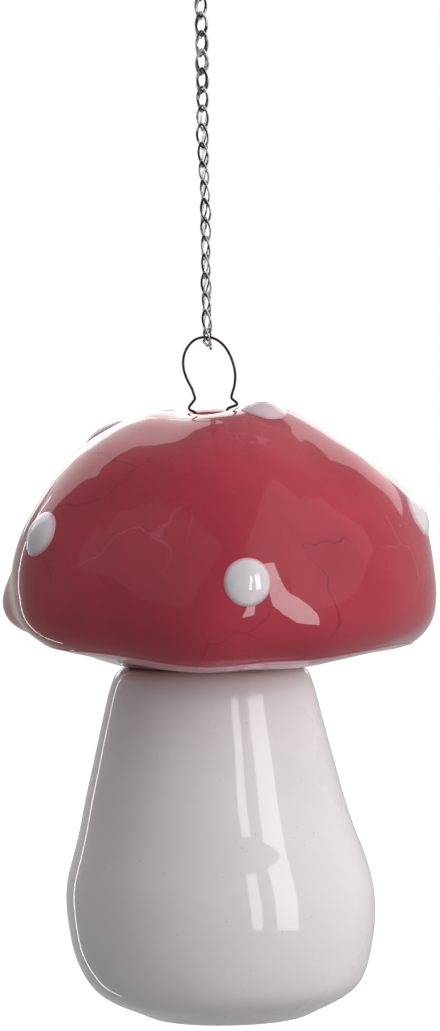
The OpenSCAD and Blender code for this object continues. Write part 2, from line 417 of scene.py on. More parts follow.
# %% Knot
KNOT_Z = CORD_TOP + CORD_LOW_Z
KNOT_TURNS = 3
KNOT_PITCH = 0.9 * CORD_WIDE
TURN_STEPS = 16
TAIL_LONG = 6
TAIL_LEAN = 12
TAIL_TURN = 0.6
knot_yarn = Yarn()
knot_high = (KNOT_TURNS - 1) * KNOT_PITCH + CORD_WIDE
knot_steps = KNOT_TURNS * TURN_STEPS
wraps = []
for k in range(knot_steps + 1):
    turn = 2 * pi * k / TURN_STEPS
    up = CORD_WIDE / 2 + (knot_high - CORD_WIDE) * k / knot_steps
    wraps.append(Vector((CORD_WIDE * sin(turn), -CORD_WIDE * cos(turn), KNOT_Z + up)) * MM)


def chain_round(yarn, points):
    """Stitches along a helix, with their broad faces away from its axis."""
    steps = len(points) - 1
    line_long = sum((b - a).length for a, b in zip(points, points[1:]))
    count = max(2, round(line_long / STITCH_PITCH))
    one = stitch_points(STITCH_POINTS)
    room = 1 - STITCH_LONG / count
    for k in range(count):
        base = room * k / (count - 1)
        loop = []
        flats = []
        for x, up, forward in one:
            s = min(max(base + up / count, 0), 1) * steps
            here = along(points, s)
            face = Vector((here.x, here.y, 0)).normalized()
            right = heading(points, s).cross(face)
            loop.append(here + right * x * MM + face * forward * MM)
            flats.append(face)
        yarn.add_tube(loop, flats, YARN_WIDE, YARN_THICK)
    return count


wound = chain_round(knot_yarn, wraps)
tail_up = TAIL_LONG * cos(radians(TAIL_LEAN))
for side in (-1, 1):
    tail_out = side * sin(radians(TAIL_LEAN)) * TAIL_LONG
    foot = Vector((0, side * STRAND_Y, KNOT_Z + 0.4)) * MM
    neck = Vector((0, side * STRAND_Y, KNOT_Z + knot_high - 0.4)) * MM
    lean_out = Vector((0.5 * side, tail_out, tail_up)) * MM
    tail = [foot, foot.lerp(neck, 0.5), neck, neck + lean_out * 0.4, neck + lean_out * 0.98]
    rope = [along(tail, 4 * k / 40) for k in range(41)]
    chain(knot_yarn, resample(rope, 41)[0], lambda share: TAIL_TURN, 2.2 + side)
knot = knot_yarn.make("cord_knot")
print(wound, "stitches round the knot")

# %% [markdown]
# ## The wire hanger
#
# One spring wire makes the eye, narrows to a neck, turns out in two knees that lie on the
# crown, and goes down through the hole into two splayed legs. Bending a line and giving
# it a round section is how the real one is made, so the line is drawn corner by corner,
# turned into a curve and given its thickness. The eye was bent by hand, so its left and
# right halves are two lists of corners: the right one is narrower at the top, and its
# shoulder sits lower.
#
# The knees lie on the cap, so the cap's sizes come first. A place on the cap is given by
# its station along the profile, 0 at the crown, 4 at the brim and 7 at the seat, and by
# its azimuth, measured from the front towards the right.

# %% Sizes shared by the wire and the cap
STEM_H = 46.3
CAP_H = 33.5
CAP_WALL = 3
HOLE_R = 2.4
HOLE_ROUND = 1.3
CROWN_DIP = 0.5
COLLAR_R = 13
COLLAR_ROUND = 1.5
SEAT_LIP = 0.6
SPIGOT_R = 9
SPIGOT_H = 2.6
LOBES = 5
LOBE_RISE = 0.6
LOBE_TURN = 8
RIM_DROOP = 2.3
FADE_S = 6
SEAT_S = 7

cap_profile = [
    (0, CAP_H),
    (10, CAP_H - 1),
    (19.1, CAP_H - 6.2),
    (25.6, CAP_H - 14.9),
    (27.8, 8.8),
    (25.8, 3.8),
    (19.6, 1.8),
    (COLLAR_R - COLLAR_ROUND + SEAT_LIP, 0),
]
# Azimuth, station, height and spread of each lump that fingers left.
lumps = [
    (262, 4.1, 1.8, 4.5),
    (60, 0.8, 1, 6),
    (97, 3, 1.5, 7),
    (268, 2.6, -1.6, 7),
    (275, 5.2, -2, 9),
    (95, 5.2, 1.1, 9),
    (0, 5.3, RIM_DROOP, 11),
    (50, 5.2, 0.3 * RIM_DROOP, 10),
    (262, 1.6, 0.3, 8),
    (0, 0.5, -0.7, 4),
    (0, 0, -CROWN_DIP, 4.5),
]


def at_side(az, m):
    """A profile point turned to an azimuth, measured from the front towards the right."""
    a = radians(az)
    return Vector((m[0] * sin(a), -m[0] * cos(a), m[1]))


lump_places = [at_side(az, along(cap_profile, s)) for az, s, _, _ in lumps]


def hand_shape(s, az, mean):
    """How far the cap stands out from its mean form, in mm: its lobes and its lumps."""
    wave = sin(radians(180 * min(s, FADE_S) / FADE_S)) ** 2
    rise = LOBE_RISE * cos(radians(LOBES * (az - LOBE_TURN))) * wave
    for place, lump in zip(lump_places, lumps):
        rise += lump[2] * exp(-(((mean - place).length / lump[3]) ** 2))
    return rise * (SEAT_S - s if s > FADE_S else 1)


def cap_point(s, az):
    mean = at_side(az, along(cap_profile, s))
    out = at_side(az, outward(cap_profile, s) if s > 0 else (0, 1))
    return mean + out * hand_shape(s, az, mean)


# %% Corners of the wire
WIRE = 0.35
LEG_GAP = 0.2
LEG_REACH = 5
LEG_SPLAY = 2.6
KNEE_GAP = 0.12
KNEE_FALL = 0.5
NECK_H = 1.25
BEND_R = 0.45
EYE_STEPS = 5
CROWN_Z = STEM_H + CAP_H
LEG_X = HOLE_R - LEG_GAP - WIRE / 2
UNDER_WALL = CROWN_Z - CAP_WALL
EYE_TOP = CROWN_Z + 9.25
left_eye = [
    (-0.4, EYE_TOP),
    (-1.1, EYE_TOP - 0.02),
    (-2.0, EYE_TOP - 0.3),
    (-2.75, EYE_TOP - 0.95),
    (-3.3, EYE_TOP - 1.85),
    (-3.58, EYE_TOP - 3.0),
    (-3.52, EYE_TOP - 4.2),
    (-3.1, EYE_TOP - 5.5),
    (-2.5, EYE_TOP - 6.7),
]
right_eye = [
    (-0.4, EYE_TOP),
    (0.35, EYE_TOP - 0.12),
    (1.2, EYE_TOP - 0.6),
    (2.0, EYE_TOP - 1.45),
    (2.62, EYE_TOP - 2.6),
    (3.02, EYE_TOP - 3.9),
    (3.17, EYE_TOP - 5.1),
    (3.03, EYE_TOP - 6.4),
    (2.75, EYE_TOP - 7.3),
]


def bend_round(a, corner, b, radius, steps=5):
    """Points of a small bend that takes the place of a corner."""
    to_a = (a - corner).normalized()
    to_b = (b - corner).normalized()
    half = asin(min(1, (to_a - to_b).length / 2))
    reach = radius * cos(half) / max(sin(half), 0.001)
    reach = min(reach, 0.45 * (a - corner).length, 0.45 * (b - corner).length)
    start, end = corner + to_a * reach, corner + to_b * reach
    rounded = []
    for k in range(steps + 1):
        f = k / steps
        rounded.append(start.lerp(corner, f).lerp(corner.lerp(end, f), f))
    return rounded


def wire_side(eye_points, neck_x, knee_x, az):
    """Half of the wire from the top of the eye to the tip of its leg."""
    sign = 1 if neck_x > 0 else -1
    steps = EYE_STEPS * (len(eye_points) - 1)
    eye = [along(eye_points, k / EYE_STEPS) for k in range(steps + 1)]
    neck = Vector((neck_x, CROWN_Z + NECK_H))
    crown = cap_point(abs(knee_x) / 10, az).z + STEM_H
    knee = Vector((knee_x, crown + WIRE / 2 + KNEE_GAP))
    throat = Vector((sign * LEG_X, knee.y - KNEE_FALL))
    under = Vector((sign * LEG_X, UNDER_WALL))
    tip = Vector((sign * (LEG_X + LEG_SPLAY), UNDER_WALL - LEG_REACH))
    bends = []
    corners = [eye[-1], neck, knee, throat, under, tip]
    for a, corner, b in zip(corners, corners[1:], corners[2:]):
        bends += bend_round(a, corner, b, BEND_R)
    return [Vector((p.x, 0, p.y)) for p in eye + bends + [tip]]


# %% Wire
left_half = wire_side(left_eye, -2.1, -3.15, 270)
right_half = wire_side(right_eye, 2.55, 3.6, 90)
wire_line = left_half[:0:-1] + right_half
wire_line = [(p + Vector((AXIS_X, 0, FOOT_Z))) * MM for p in wire_line]
wire = draw_line("spring_wire_hanger", wire_line)
bpy.ops.object.mode_set(mode="OBJECT")
bpy.ops.object.convert(target="CURVE")
wire = bpy.context.object
wire.data.bevel_depth = WIRE / 2 * MM
wire.data.bevel_resolution = 3
wire.data.use_fill_caps = True
bpy.ops.object.convert(target="MESH")
wire = bpy.context.object
bpy.ops.object.mode_set(mode="EDIT")
bpy.ops.mesh.select_all(action="SELECT")
bpy.ops.mesh.remove_doubles(threshold=0.001 * MM)
bpy.ops.mesh.normals_make_consistent(inside=False)
bpy.ops.object.mode_set(mode="OBJECT")
bpy.ops.object.shade_smooth()
print("wire", len(wire_line), "points,", len(wire.data.vertices), "corners")

# %% [markdown]
# ## The cap
#
# The cap came out of a mould, but its soft clay was pressed by fingers: five low lobes
# run round the brim, the left side bulges, the right shoulder is full, the crown is
# pressed in round its hole, and the rim droops in front. It is spun as a true round first,
# with its hollow and its hole, and every corner is then pushed out or in by the same rule
# as the solid below it.
#
# Where the rim turns under, the glaze ran to a fine bead and broke thin over it, and the
# bead's paler colour is also a painted highlight line. More rings of corners are kept
# there, because a bead needs them to be round.

# %% Profile of the cap
STRAIGHT_DOWN = -0.9
BEAD_S = next(
    s / 100
    for s in range(400, 600)
    if outward(cap_profile, s / 100)[1] < STRAIGHT_DOWN
)
BEAD_HIGH = 0.14
BEAD_SPREAD = 0.05
BEAD_ROOM = 0.16
HOLE_TOP = CAP_H - CROWN_DIP / 2 - HOLE_ROUND
MOUTH_S = (HOLE_R + HOLE_ROUND) / 10
INNER_S = 6.3
INNER_SPAN = 5.9
WALL_STATIONS = 22
SKIN_STATIONS = 76
SOCKET_R = SPIGOT_R + 0.25
print("bead at station", BEAD_S)


def cap_outline():
    """(radius, height, station, share of the hand's pressing) from inside the hollow out."""
    line = []
    for k in range(WALL_STATIONS + 1):
        s = INNER_S - INNER_SPAN * k / WALL_STATIONS
        m = along(cap_profile, s) - CAP_WALL * outward(cap_profile, s)
        line.append((m[0], m[1], s, 0))
    for share in (0, 0.3, 0.6, 0.85):
        high = CAP_H - CAP_WALL + 0.05 + share * (HOLE_TOP - CAP_H + CAP_WALL)
        line.append((HOLE_R, high, MOUTH_S, share))
    for k in range(7):
        a = radians(15 * k)
        r = HOLE_R + HOLE_ROUND * (1 - cos(a))
        line.append((r, HOLE_TOP + HOLE_ROUND * sin(a), MOUTH_S, 1))
    first = MOUTH_S + 0.06
    stations = []
    for k in range(SKIN_STATIONS + 1):
        s = first + (SEAT_S - first) * (k / SKIN_STATIONS) ** 1.05
        if abs(s - BEAD_S) > BEAD_ROOM:
            stations.append(s)
    stations += [BEAD_S + 0.03 * k for k in range(-4, 5)]
    for s in sorted(stations):
        m = along(cap_profile, s)
        line.append((m[0], m[1], s, 1))
    line.append((SOCKET_R, 0, SEAT_S, 0))
    line.append((SOCKET_R, line[0][1] - 0.4, INNER_S, 0))
    line.append((line[0][0], line[0][1], INNER_S, 0))
    return line


outline = cap_outline()
cap_line = [Vector((AXIS_X + r, 0, FOOT_Z + STEM_H + z)) * MM for r, z, _, _ in outline]
cap = draw_line("red_cap", cap_line)
CAP_SIDES = 144
spin_round(CAP_SIDES)
print("cap", len(cap.data.vertices), "corners, spun")


# %% [markdown]
# A shape made by hand is never as even as its rule. Two sizes of slow noise sway the
# glaze, the bead stands out along the rim, and a thumb left a shallow twist beside the
# front dot, which bends the window's reflection there. How far each corner lies on the
# bead is kept as an attribute, so that the glaze can be paler on it: partly thin glaze,
# and partly a painted highlight line along the rim.

# %% Pressing the cap
TWIST_AT = Vector((10, -25.6, 10.2))
TWIST_SIDE = Vector((0.92, 0.39, 0))
TWIST_WIDE = 7
TWIST = -0.07
TILT = -0.05
SWAY_SLOW = 0.13
SWAY_QUICK = 0.06


def nearest_station(r, z):
    return min(outline, key=lambda p: (p[0] - r) ** 2 + (p[1] - z) ** 2)


def thumb_twist(v):
    """A shallow twist that a thumb left beside the front dot, in mm."""
    across = (v - TWIST_AT).dot(TWIST_SIDE)
    up = v.z - TWIST_AT.z
    fade = exp(-((across * across + up * up) / TWIST_WIDE**2))
    return (TWIST * across + TILT) * up * fade if v.y < 0 else 0


def press(cap):
    """Moves every corner by the hand's pressing and by the unevenness of the glaze."""
    seen = {}
    thin = []
    for v in cap.data.vertices:
        x, y = v.co.x / MM - AXIS_X, v.co.y / MM
        z = v.co.z / MM - FOOT_Z - STEM_H
        r = hypot(x, y)
        key = (round(r, 2), round(z, 2))
        if key not in seen:
            seen[key] = nearest_station(r, z)
        _, _, s, share = seen[key]
        bead = exp(-(((s - BEAD_S) / BEAD_SPREAD) ** 2)) * share
        thin.append(bead)
        if not share:
            continue
        az = atan2(x, -y) * 180 / pi
        mean = at_side(az, along(cap_profile, s))
        out = at_side(az, outward(cap_profile, s))
        sway = SWAY_SLOW * noise.noise(v.co * 95) + SWAY_QUICK * noise.noise(v.co * 230)
        sway += BEAD_HIGH * bead
        sway += thumb_twist(Vector((x, y, z)))
        fade = min(1, max(0, SEAT_S - s))
        v.co += out * (hand_shape(s, az, mean) * share + sway * fade * share) * MM
    glaze = cap.data.attributes.new("thin_glaze_and_painted_rim_highlight", "FLOAT", "POINT")
    glaze.data.foreach_set("value", thin)


press(cap)
smooth(cap)
print("cap pressed,", len(cap.data.polygons), "faces")

# %% [markdown]
# ## The dots
#
# Each dot is a thick drop of white glaze. It has a gently domed top and steep soft edges,
# and it follows the cap under it. One button profile is spun at each dot's place, and a
# ray from every corner down to the cap finds the surface that the corner is draped over.
# The glaze is thin at a dot's rim, where the red shows through, and the drop on the crown
# ran out thinner than the others. That thinness is an attribute too.

# %% Dots
DOT_R = 3.1
DOT_RISE = 0.95
DOT_SIDES = 48
CROWN_THIN = 0.68
THIN_FROM = 0.7
# Azimuth and station of each dot.
dots = {
    "front_dot": (8.1, 3.65),
    "right_dot": (84, 3),
    "back_right_dot": (148, 3.4),
    "back_left_dot": (221, 3.2),
    "left_dot": (302, 3.07),
    "crown_dot": (47, 0.9),
    "upper_right_dot": (118, 1.55),
    "upper_left_dot": (264, 1.44),
}
button = [
    (0, 1.0),
    (0.8, 0.96),
    (1.5, 0.83),
    (2.1, 0.63),
    (2.6, 0.40),
    (2.9, 0.21),
    (3.05, 0.08),
    (3.1, 0),
    (3.06, -0.25),
    (2.4, -0.45),
    (0, -0.5),
]


def cap_normal(s, az):
    up = cap_point(s + 0.05, az) - cap_point(s - 0.05, az)
    round_way = cap_point(s, az + 1) - cap_point(s, az - 1)
    return up.cross(round_way).normalized()


def make_dot(name, az, s):
    centre = (cap_point(s, az) + Vector((AXIS_X, 0, FOOT_Z + STEM_H))) * MM
    out = cap_normal(s, az)
    side = out.cross(Vector((0, 0, 1))).normalized()
    ahead = out.cross(side)
    line = [Vector((r, 0, h)) * MM for r, h in button]
    piece = draw_line(name + "_glaze", line)
    spin_round(DOT_SIDES, centre=(0, 0, 0))
    thin = []
    least = CROWN_THIN if s < 1 else 0
    for v in piece.data.vertices:
        x, y, h = v.co / MM
        r = hypot(x, y)
        lean_r = 1 + 0.035 * noise.noise(Vector((x, y, s * 9)) * 0.4)
        aim = centre + (side * x + ahead * y) * lean_r * MM
        hit, at, _, _ = cap.ray_cast(aim + out * 4 * MM, -out)
        ground = at if hit else aim
        v.co = ground + out * h * DOT_RISE * MM
        thin.append(min(1, max(least, (r / DOT_R - THIN_FROM) / (1 - THIN_FROM))))
    rim = piece.data.attributes.new("thin_rim", "FLOAT", "POINT")
    rim.data.foreach_set("value", thin)
    smooth(piece)
    return piece


dot_pieces = {name: make_dot(name, *spot) for name, spot in dots.items()}
print(len(dot_pieces), "dots on the cap")

# %% [markdown]
# ## The stem
#
# The stem is a fat pear with a flat foot and a soft shoulder under the cap. It is not
# quite straight: the waist leans a little to the left and the foot sits a little to the
# right, as clay does when it leaves its mould soft. It is spun straight, closed over its
# top, and then leaned ring by ring.

# %% Stem
stem_profile = [
    (10, 0),
    (17.85, 4.8),
    (20.2, 15.7),
    (17.45, 26.8),
    (COLLAR_R, STEM_H - COLLAR_ROUND),
]
SHOULDER = 2.4
STEM_SIDES = 128
STATION_STEPS = 12
# Height above the foot, and how far the stem's middle leans there.
lean_line = [(0, 0.8), (3, 0.5), (10, 0.1), (20, -0.2), (30, -0.6), (41, -0.65), (60, -0.4)]


def stem_outline():
    """Radius and height from the middle of the foot, up the outside, to the spigot."""
    line = [(0, 0.35), (6, 0.32), (8.6, 0.12), (9.6, 0)]
    for k in range(1, STATION_STEPS * (len(stem_profile) - 1) + 1):
        m = along(stem_profile, k / STATION_STEPS)
        if m[1] < STEM_H - SHOULDER - 0.2:
            line.append((m[0], m[1]))
    for a in range(15, 91, 15):
        out = cos(radians(a))
        up = sin(radians(a))
        line.append((COLLAR_R - SHOULDER * (1 - out), STEM_H - SHOULDER * (1 - up)))
    line += [(SPIGOT_R, STEM_H), (SPIGOT_R, STEM_H + SPIGOT_H), (0, STEM_H + SPIGOT_H)]
    return line


def lean_at(z):
    for (low, a), (high, b) in zip(lean_line, lean_line[1:]):
        if z <= high:
            f = min(1, max(0, (z - low) / (high - low)))
            f = f * f * (3 - 2 * f)
            return a + (b - a) * f
    return lean_line[-1][1]


stem_line = [Vector((AXIS_X + r, 0, FOOT_Z + z)) * MM for r, z in stem_outline()]
stem = draw_line("white_stem", stem_line)
spin_round(STEM_SIDES)
for v in stem.data.vertices:
    z = v.co.z / MM - FOOT_Z
    away = Vector((v.co.x - AXIS_X * MM, v.co.y, 0)).normalized()
    sway = 0.08 * noise.noise(v.co * 40) + 0.015 * noise.noise(v.co * 190)
    v.co.x += lean_at(z) * MM
    if 1 < z < STEM_H - 0.5:
        v.co += away * sway * MM
smooth(stem)
print("stem", len(stem.data.polygons), "faces")

# %% [markdown]
# ## Materials
#
# A glaze is a coloured layer under clear glass. The colour is never even: it is thinner
# in some clouds and thicker in others, it holds fine specks and pinholes, and the
# clear coat over it has slow waves that make reflections wobble.


# %% Nodes
def new_finish(name):
    finish = bpy.data.materials.new(name)
    finish.use_nodes = True
    nodes = finish.node_tree.nodes
    shader = nodes["Principled BSDF"]
    where = nodes.new("ShaderNodeTexCoord")
    return finish, nodes, finish.node_tree.links, shader, where


def pattern(nodes, links, where, scale, detail=3, rough=0.5, warp=0):
    cloud = nodes.new("ShaderNodeTexNoise")
    cloud.inputs["Scale"].default_value = scale
    cloud.inputs["Detail"].default_value = detail
    cloud.inputs["Roughness"].default_value = rough
    cloud.inputs["Distortion"].default_value = warp
    links.new(where.outputs["Object"], cloud.inputs["Vector"])
    return cloud


def remap(nodes, links, value, low, high, to_low=0, to_high=1):
    span = nodes.new("ShaderNodeMapRange")
    span.inputs["From Min"].default_value = low
    span.inputs["From Max"].default_value = high
    span.inputs["To Min"].default_value = to_low
    span.inputs["To Max"].default_value = to_high
    links.new(value, span.inputs["Value"])
    return span.outputs["Result"]


def times(nodes, links, first, second):
    product = nodes.new("ShaderNodeMath")
    product.operation = "MULTIPLY"
    links.new(first, product.inputs[0])
    links.new(second, product.inputs[1])
    return product.outputs[0]


def blend_colour(nodes, links, share, first, second):
    """Each of first and second is a colour or another node's output."""
    mix = nodes.new("ShaderNodeMix")
    mix.data_type = "RGBA"
    links.new(share, mix.inputs["Factor"])
    for socket, colour in ((mix.inputs[6], first), (mix.inputs[7], second)):
        if isinstance(colour, tuple):
            socket.default_value = (*colour, 1)
        else:
            links.new(colour, socket)
    return mix.outputs[2]


def add_bump(nodes, links, shader, heights, distance, socket="Normal", strength=1):
    bump = nodes.new("ShaderNodeBump")
    bump.inputs["Distance"].default_value = distance
    bump.inputs["Strength"].default_value = strength
    links.new(heights, bump.inputs["Height"])
    links.new(bump.outputs["Normal"], shader.inputs[socket])
    return bump


# %% [markdown]
# The red glaze: a deep cherry in slow clouds, with fine dark specks and a few pale
# pinholes. It crazed as it cooled, so a few hairlines run through it, some dark and some
# pale. They are the borders of warped Voronoi cells, and a noise lets most of them fade
# out. Over the bead of the rim it is pale pink: partly thin glaze, and partly a painted
# highlight line. The coat carries the sharp reflections, so the colour layer under it can
# stay a little rough.

# %% Red glaze
THICK_RED = (0.38, 0.016, 0.038)
THIN_RED = (0.48, 0.024, 0.054)
SPECK_RED = (0.14, 0.004, 0.010)
PINHOLE_RED = (0.55, 0.10, 0.12)
DARK_HAIR = (0.29, 0.007, 0.030)
PALE_HAIR = (0.58, 0.09, 0.14)
BEAD_PINK_AND_PAINTED_HIGHLIGHT = (0.84, 0.42, 0.52)
COAT_ROUGH = 0.03
UNDER_GLOSS = 0.08


def red_glaze():
    finish, nodes, links, shader, where = new_finish("red_glaze")
    clouds = pattern(nodes, links, where, 70, detail=4)
    share = remap(nodes, links, clouds.outputs["Fac"], 0.35, 0.68)
    red = blend_colour(nodes, links, share, THICK_RED, THIN_RED)
    fine = pattern(nodes, links, where, 2600, detail=2)
    specks = remap(nodes, links, fine.outputs["Fac"], 0.73, 0.80)
    red = blend_colour(nodes, links, specks, red, SPECK_RED)
    holes = nodes.new("ShaderNodeTexVoronoi")
    holes.inputs["Scale"].default_value = 150
    links.new(where.outputs["Object"], holes.inputs["Vector"])
    pin = remap(nodes, links, holes.outputs["Distance"], 0.022, 0.034, 1, 0)
    red = blend_colour(nodes, links, pin, red, PINHOLE_RED)
    crack = nodes.new("ShaderNodeTexVoronoi")
    crack.feature = "DISTANCE_TO_EDGE"
    crack.inputs["Scale"].default_value = 62
    bent = pattern(nodes, links, where, 90, detail=3)
    shift = nodes.new("ShaderNodeVectorMath")
    shift.operation = "MULTIPLY_ADD"
    shift.inputs[1].default_value = (0.012, 0.012, 0.012)
    links.new(bent.outputs["Color"], shift.inputs[0])
    links.new(where.outputs["Object"], shift.inputs[2])
    links.new(shift.outputs["Vector"], crack.inputs["Vector"])
    hair = remap(nodes, links, crack.outputs["Distance"], 0.004, 0.012, 1, 0)
    some = pattern(nodes, links, where, 55, detail=2)
    few = remap(nodes, links, some.outputs["Fac"], 0.50, 0.62)
    red = blend_colour(nodes, links, times(nodes, links, hair, few), red, DARK_HAIR)
    others = remap(nodes, links, some.outputs["Fac"], 0.44, 0.36, 0, 0.5)
    red = blend_colour(nodes, links, times(nodes, links, hair, others), red, PALE_HAIR)
    # Pale pink on the rim's bead: partly thin glaze, and partly a painted highlight line.
    edge = nodes.new("ShaderNodeAttribute")
    edge.attribute_name = "thin_glaze_and_painted_rim_highlight"
    pale = remap(nodes, links, edge.outputs["Fac"], 0.35, 1, 0, 0.62)
    red = blend_colour(nodes, links, pale, red, BEAD_PINK_AND_PAINTED_HIGHLIGHT)
    links.new(red, shader.inputs["Base Color"])
    rough = remap(nodes, links, clouds.outputs["Fac"], 0.3, 0.7, 0.20, 0.32)
    links.new(rough, shader.inputs["Roughness"])
    shader.inputs["Specular IOR Level"].default_value = UNDER_GLOSS
    shader.inputs["Coat Weight"].default_value = 1
    shader.inputs["Coat IOR"].default_value = 1.62
    shader.inputs["Coat Roughness"].default_value = COAT_ROUGH
    waves = pattern(nodes, links, where, 130, detail=2)
    add_bump(nodes, links, shader, waves.outputs["Fac"], 0.00025, "Coat Normal", 0.5)
    add_bump(nodes, links, shader, fine.outputs["Fac"], 0.00003, "Normal", 0.4)
    return finish


# %% [markdown]
# The white glaze of the stem and of the dots is a warm white that is a shade cooler where
# it is thick. On the stem a few iron specks came through. The dots are thicker drops, so
# their coat is denser, a little light enters them, and their thin rims are pink.

# %% White glaze
THICK_WHITE = (0.79, 0.745, 0.77)
THIN_WHITE = (0.84, 0.80, 0.815)
IRON_SPECK = (0.45, 0.42, 0.41)


def white_glaze():
    finish, nodes, links, shader, where = new_finish("white_glaze")
    clouds = pattern(nodes, links, where, 55, detail=4)
    share = remap(nodes, links, clouds.outputs["Fac"], 0.3, 0.7)
    white = blend_colour(nodes, links, share, THICK_WHITE, THIN_WHITE)
    fine = pattern(nodes, links, where, 2300, detail=2)
    specks = remap(nodes, links, fine.outputs["Fac"], 0.73, 0.80)
    white = blend_colour(nodes, links, specks, white, IRON_SPECK)
    links.new(white, shader.inputs["Base Color"])
    rough = remap(nodes, links, clouds.outputs["Fac"], 0.3, 0.7, 0.22, 0.34)
    links.new(rough, shader.inputs["Roughness"])
    shader.inputs["Specular IOR Level"].default_value = UNDER_GLOSS
    shader.inputs["Coat Weight"].default_value = 1
    shader.inputs["Coat Roughness"].default_value = COAT_ROUGH
    waves = pattern(nodes, links, where, 110, detail=2)
    add_bump(nodes, links, shader, waves.outputs["Fac"], 0.00012, "Coat Normal", 0.5)
    add_bump(nodes, links, shader, fine.outputs["Fac"], 0.00003, "Normal", 0.4)
    return finish


# %% Glaze of the dots
DROP_SHADE = (0.76, 0.70, 0.73)
DROP_WHITE = (0.83, 0.78, 0.80)
RIM_PINK = (0.66, 0.33, 0.40)


def dot_glaze():
    finish, nodes, links, shader, where = new_finish("dot_glaze")
    clouds = pattern(nodes, links, where, 420, detail=3)
    share = remap(nodes, links, clouds.outputs["Fac"], 0.3, 0.7)
    white = blend_colour(nodes, links, share, DROP_SHADE, DROP_WHITE)
    rim = nodes.new("ShaderNodeAttribute")
    rim.attribute_name = "thin_rim"
    edge = remap(nodes, links, rim.outputs["Fac"], 0.45, 0.95)
    white = blend_colour(nodes, links, edge, white, RIM_PINK)
    links.new(white, shader.inputs["Base Color"])
    rough = remap(nodes, links, clouds.outputs["Fac"], 0.3, 0.7, 0.22, 0.32)
    links.new(rough, shader.inputs["Roughness"])
    shader.inputs["Specular IOR Level"].default_value = UNDER_GLOSS
    shader.inputs["Coat Weight"].default_value = 1
    shader.inputs["Coat IOR"].default_value = 1.85
    shader.inputs["Coat Roughness"].default_value = COAT_ROUGH
    shader.inputs["Subsurface Weight"].default_value = 0.1
    shader.inputs["Subsurface Radius"].default_value = (0.0006, 0.0005, 0.0005)
    waves = pattern(nodes, links, where, 420, detail=2)
    add_bump(nodes, links, shader, waves.outputs["Fac"], 0.00006, "Coat Normal", 0.5)
    return finish


# %% [markdown]
# The wire is dark drawn steel, and all its brightness comes from what it mirrors. The
# yarn is a silver film wound on thread, bright inside each loop. Along the loop's outer
# edge, where the film turns away, broken flecks of painted shade and painted dark
# reflection darken its colour. The edge comes from the attribute that the yarn was given,
# and a noise breaks it up.

# %% Spring wire
STEEL_DARK = (0.02, 0.016, 0.018)
STEEL_LIGHT = (0.07, 0.058, 0.06)


def spring_wire():
    finish, nodes, links, shader, where = new_finish("spring_wire")
    drawn = pattern(nodes, links, where, 900, detail=3)
    share = remap(nodes, links, drawn.outputs["Fac"], 0.35, 0.65)
    steel = blend_colour(nodes, links, share, STEEL_DARK, STEEL_LIGHT)
    links.new(steel, shader.inputs["Base Color"])
    rough = remap(nodes, links, drawn.outputs["Fac"], 0.3, 0.7, 0.22, 0.42)
    links.new(rough, shader.inputs["Roughness"])
    shader.inputs["Metallic"].default_value = 1
    add_bump(nodes, links, shader, drawn.outputs["Fac"], 0.00001)
    return finish


# %% Silver yarn
FILM_GREY = (0.80, 0.80, 0.82)
FILM_WHITE = (0.97, 0.97, 0.98)
FILM_PAINTED_SHADE = (0.02, 0.018, 0.026)


def silver_yarn():
    finish, nodes, links, shader, where = new_finish("silver_yarn")
    fibres = pattern(nodes, links, where, 5200, detail=2)
    glint = remap(nodes, links, fibres.outputs["Fac"], 0.38, 0.62)
    silver = blend_colour(nodes, links, glint, FILM_GREY, FILM_WHITE)
    # Painted shade and painted dark reflection: broken dark flecks along each loop's outer
    # edge.
    edge = nodes.new("ShaderNodeAttribute")
    edge.attribute_name = "yarn_edge"
    outer = remap(nodes, links, edge.outputs["Fac"], -0.9, -0.3)
    twist = pattern(nodes, links, where, 900, detail=1)
    broken = remap(nodes, links, twist.outputs["Fac"], 0.38, 0.5, 0.25, 1)
    painted_edge_shade = times(nodes, links, outer, broken)
    silver = blend_colour(nodes, links, painted_edge_shade, silver, FILM_PAINTED_SHADE)
    links.new(silver, shader.inputs["Base Color"])
    rough = remap(nodes, links, fibres.outputs["Fac"], 0.3, 0.7, 0.25, 0.45)
    links.new(rough, shader.inputs["Roughness"])
    shader.inputs["Metallic"].default_value = 0.45
    add_bump(nodes, links, shader, fibres.outputs["Fac"], 0.00003)
    return finish


# %% Each piece gets its finish, its body and its nodes
red, white, drop = red_glaze(), white_glaze(), dot_glaze()
steel, silver = spring_wire(), silver_yarn()
hand_in(hanging_cord, "hanging_loop", silver, "cord", "hanging_cord")
hand_in(knot, "hanging_loop", silver, "cord", "knot")
hand_in(wire, "hanger", steel, "wire", "wire_hanger")
hand_in(cap, "mushroom", red, "red_glaze", "cap")
hand_in(stem, "mushroom", white, "white_glaze", "stem")
for name, piece in dot_pieces.items():
    hand_in(piece, "mushroom", drop, "dot_glaze", name)

# %% [markdown]
# ## Floor, light and background
#
# The ornament hangs in front of white paper. A pale floor lies well below it. The
# background is white because camera rays see the world at strength 1, and the paper glows
# only for them. What lights the object is plain: soft lamps that no mirror shows, and a
# dim world. A glossy glaze also needs something to mirror, so mirror rays see a grey room
# that is brighter behind and to the right, and the lamps that stand for its windows.

# %% Floor
FLOOR_DROP = 90
PAPER_GLOW = 0.92
start_fresh()
bpy.ops.mesh.primitive_plane_add(size=6, location=(0, 0, (FOOT_Z - FLOOR_DROP) * MM))
floor_sheet = bpy.context.object
floor_sheet.name = "pale_floor"
floor_sheet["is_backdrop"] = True


def seen_rays(nodes, links):
    """1 for a camera, mirror or glass ray, and 0 for a ray that carries light."""
    path = nodes.new("ShaderNodeLightPath")
    total = path.outputs["Is Camera Ray"]
    for other in ("Is Glossy Ray", "Is Transmission Ray"):
        most = nodes.new("ShaderNodeMath")
        most.operation = "MAXIMUM"
        links.new(total, most.inputs[0])
        links.new(path.outputs[other], most.inputs[1])
        total = most.outputs[0]
    return total


